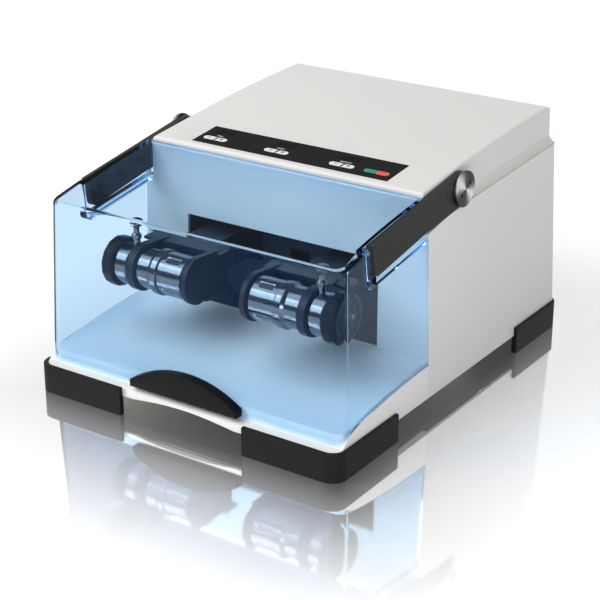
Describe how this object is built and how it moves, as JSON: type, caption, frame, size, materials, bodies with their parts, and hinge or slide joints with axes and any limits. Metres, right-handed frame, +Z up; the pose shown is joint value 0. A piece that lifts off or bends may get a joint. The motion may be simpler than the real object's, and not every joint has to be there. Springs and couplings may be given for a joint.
{
  "type": "analytical lab mill",
  "caption": "Bench ball mill with mirrored swinging jar holders under a hinged transparent lid, sloping keypad and wrap-round corner feet.",
  "frame": {"origin": "centre of the footprint at the level of the bench, under the feet", "axes": "+Z up, -Y towards the lid and the operator, +X to the operator's right"},
  "size_m": [0.371, 0.461, 0.2542],
  "materials": {
    "housing_paint": "fine textured warm light grey paint",
    "tray_gloss": "smooth white moulding, soft gloss",
    "lid_blue": "clear blue polycarbonate",
    "foot_black": "matt black moulded rubber",
    "arm_black": "fine textured black powder coat",
    "handle_black": "satin black plastic",
    "panel_black": "matt black keypad foil",
    "window_dark": "dark tinted display window",
    "key_white": "white key",
    "key_green": "green key",
    "key_red": "red key",
    "guard_dark": "dark moulded guard",
    "holder_dark": "dark satin cast holder",
    "polished_steel": "turned and polished stainless steel",
    "turned_disc": "face-turned aluminium",
    "wheel_black": "black thermoset handwheel",
    "steel_plain": "machined steel",
    "zinc_screw": "zinc plated",
    "cast_grey": "grey casting",
    "motor_grey": "dark grey paint",
    "belt_rubber": "toothed rubber belt",
    "damper_rubber": "rubber mount",
    "board_green": "printed circuit board",
    "supply_metal": "folded sheet case",
    "inlet_black": "black inlet moulding",
    "rocker_black": "black rocker",
    "fan_black": "black fan moulding"
  },
  "bodies": {
    "housing": {"base_tray": "tray_gloss", "rear_housing": "housing_paint", "top_cover": "housing_paint", "keypad_panel": "panel_black", "display_windows": "window_dark", "control_board": "board_green", "base_plate": "zinc_screw", "front_left_foot": "foot_black", "rear_left_foot": "foot_black", "front_right_foot": "foot_black", "rear_right_foot": "foot_black", "base_screws": "zinc_screw", "cover_screws": "zinc_screw", "lid_hinge_pins": "turned_disc", "guard_liner": "guard_dark", "drive_frame": "cast_grey", "vibration_dampers": "damper_rubber", "rocker_shafts": "steel_plain", "shaft_bearings": "steel_plain", "motor": "motor_grey", "drive_belt": "belt_rubber", "power_supply": "supply_metal", "mains_inlet": "inlet_black", "switch_frame": "inlet_black", "fan_frame": "fan_black"},
    "lid": {"lid_shell": "lid_blue", "arm_screws": "zinc_screw", "lid_handle": "handle_black", "left_lid_arm": "arm_black", "right_lid_arm": "arm_black"},
    "eccentric_shaft": {"eccentric_shaft": "steel_plain"},
    "motor_rotor": {"motor_pulley": "steel_plain"},
    "fan_rotor": {"fan_rotor": "fan_black"},
    "power_rocker": {"power_rocker": "rocker_black"},
    "left_swing": {"left_swing_arm": "holder_dark", "left_arm_bearings": "steel_plain", "left_jar_body": "polished_steel", "left_jar_cap": "polished_steel", "left_clamp_sleeve": "polished_steel"},
    "left_spindle": {"left_clamp_spindle": "steel_plain"},
    "left_wheel": {"left_handwheel": "wheel_black"},
    "left_pin": {"left_locking_pin": "polished_steel"},
    "left_rod": {"left_connecting_rod": "steel_plain"},
    "right_swing": {"right_swing_arm": "holder_dark", "right_arm_bearings": "steel_plain", "right_jar_body": "polished_steel", "right_jar_cap": "polished_steel", "right_clamp_sleeve": "polished_steel"},
    "right_spindle": {"right_clamp_spindle": "steel_plain"},
    "right_wheel": {"right_handwheel": "wheel_black"},
    "right_pin": {"right_locking_pin": "polished_steel"},
    "right_rod": {"right_connecting_rod": "steel_plain"},
    "time_minus_key": {"time_minus_key": "key_white"},
    "time_plus_key": {"time_plus_key": "key_white"},
    "speed_minus_key": {"speed_minus_key": "key_white"},
    "speed_plus_key": {"speed_plus_key": "key_white"},
    "memory_minus_key": {"memory_minus_key": "key_white"},
    "memory_plus_key": {"memory_plus_key": "key_white"},
    "start_key": {"start_key": "key_green"},
    "stop_key": {"stop_key": "key_red"}
  },
  "joints": [
    {"name": "lid_hinge", "type": "hinge", "parent": "housing", "child": "lid", "pos_m": [0, 0.009, 0.222], "axis": [-1, 0, 0], "range_deg": [0, 90]},
    {"name": "left_swing", "type": "hinge", "parent": "housing", "child": "left_swing", "pos_m": [-0.075, 0.008, 0.131], "axis": [0, 0, 1], "range_deg": [-3, 3]},
    {"name": "right_swing", "type": "hinge", "parent": "housing", "child": "right_swing", "pos_m": [0.075, 0.008, 0.131], "axis": [0, 0, 1], "range_deg": [-3, 3]},
    {"name": "eccentric_turn", "type": "hinge", "parent": "housing", "child": "eccentric_shaft", "pos_m": [0, 0.053, 0.115], "axis": [0, 0, 1], "continuous": true},
    {"name": "motor_turn", "type": "hinge", "parent": "housing", "child": "motor_rotor", "pos_m": [0, 0.15, 0.08], "axis": [0, 0, 1], "continuous": true},
    {"name": "fan_turn", "type": "hinge", "parent": "housing", "child": "fan_rotor", "pos_m": [0.1, 0.203, 0.12], "axis": [0, 1, 0], "continuous": true},
    {"name": "power_tip", "type": "hinge", "parent": "housing", "child": "power_rocker", "pos_m": [-0.084, 0.22, 0.064], "axis": [1, 0, 0], "range_deg": [0, 12]},
    {"name": "left_clamp_slide", "type": "slide", "parent": "left_swing", "child": "left_spindle", "axis": [-1, 0, 0], "range_m": [0, 0.0045]},
    {"name": "left_wheel_turn", "type": "hinge", "parent": "left_spindle", "child": "left_wheel", "pos_m": [-0.127, -0.148, 0.129], "axis": [-1, 0, 0], "range_deg": [0, 1080]},
    {"name": "left_pin_lift", "type": "slide", "parent": "left_swing", "child": "left_pin", "axis": [0, 0, 1], "range_m": [0, 0.006], "stiffness_N_per_m": 300, "springref_m": -0.004},
    {"name": "left_rod_pivot", "type": "hinge", "parent": "left_swing", "child": "left_rod", "pos_m": [-0.075, 0.053, 0.125], "axis": [0, 0, 1], "range_deg": [-3, 3]},
    {"name": "right_clamp_slide", "type": "slide", "parent": "right_swing", "child": "right_spindle", "axis": [1, 0, 0], "range_m": [0, 0.0045]},
    {"name": "right_wheel_turn", "type": "hinge", "parent": "right_spindle", "child": "right_wheel", "pos_m": [0.127, -0.148, 0.129], "axis": [1, 0, 0], "range_deg": [0, 1080]},
    {"name": "right_pin_lift", "type": "slide", "parent": "right_swing", "child": "right_pin", "axis": [0, 0, 1], "range_m": [0, 0.006], "stiffness_N_per_m": 300, "springref_m": -0.004},
    {"name": "right_rod_pivot", "type": "hinge", "parent": "right_swing", "child": "right_rod", "pos_m": [0.075, 0.053, 0.107], "axis": [0, 0, 1], "range_deg": [-3, 3]},
    {"name": "time_minus_key_press", "type": "slide", "parent": "housing", "child": "time_minus_key", "axis": [0, 0.1068, -0.9943], "range_m": [0, 0.0006], "stiffness_N_per_m": 400, "springref_m": -0.0005},
    {"name": "time_plus_key_press", "type": "slide", "parent": "housing", "child": "time_plus_key", "axis": [0, 0.1068, -0.9943], "range_m": [0, 0.0006], "stiffness_N_per_m": 400, "springref_m": -0.0005},
    {"name": "speed_minus_key_press", "type": "slide", "parent": "housing", "child": "speed_minus_key", "axis": [0, 0.1068, -0.9943], "range_m": [0, 0.0006], "stiffness_N_per_m": 400, "springref_m": -0.0005},
    {"name": "speed_plus_key_press", "type": "slide", "parent": "housing", "child": "speed_plus_key", "axis": [0, 0.1068, -0.9943], "range_m": [0, 0.0006], "stiffness_N_per_m": 400, "springref_m": -0.0005},
    {"name": "memory_minus_key_press", "type": "slide", "parent": "housing", "child": "memory_minus_key", "axis": [0, 0.1068, -0.9943], "range_m": [0, 0.0006], "stiffness_N_per_m": 400, "springref_m": -0.0005},
    {"name": "memory_plus_key_press", "type": "slide", "parent": "housing", "child": "memory_plus_key", "axis": [0, 0.1068, -0.9943], "range_m": [0, 0.0006], "stiffness_N_per_m": 400, "springref_m": -0.0005},
    {"name": "start_key_press", "type": "slide", "parent": "housing", "child": "start_key", "axis": [0, 0.1068, -0.9943], "range_m": [0, 0.0006], "stiffness_N_per_m": 400, "springref_m": -0.0005},
    {"name": "stop_key_press", "type": "slide", "parent": "housing", "child": "stop_key", "axis": [0, 0.1068, -0.9943], "range_m": [0, 0.0006], "stiffness_N_per_m": 400, "springref_m": -0.0005}
  ],
  "couplings": [
    {"joint": "right_swing", "follows": "left_swing", "ratio": -1},
    {"joint": "motor_turn", "follows": "eccentric_turn", "ratio": 1},
    {"joint": "left_wheel_turn", "follows": "left_clamp_slide", "rad_per_m": 4188.8},
    {"joint": "left_rod_pivot", "follows": "left_swing", "ratio": -1},
    {"joint": "right_wheel_turn", "follows": "right_clamp_slide", "rad_per_m": 4188.8},
    {"joint": "right_rod_pivot", "follows": "left_swing", "ratio": 1}
  ]
}
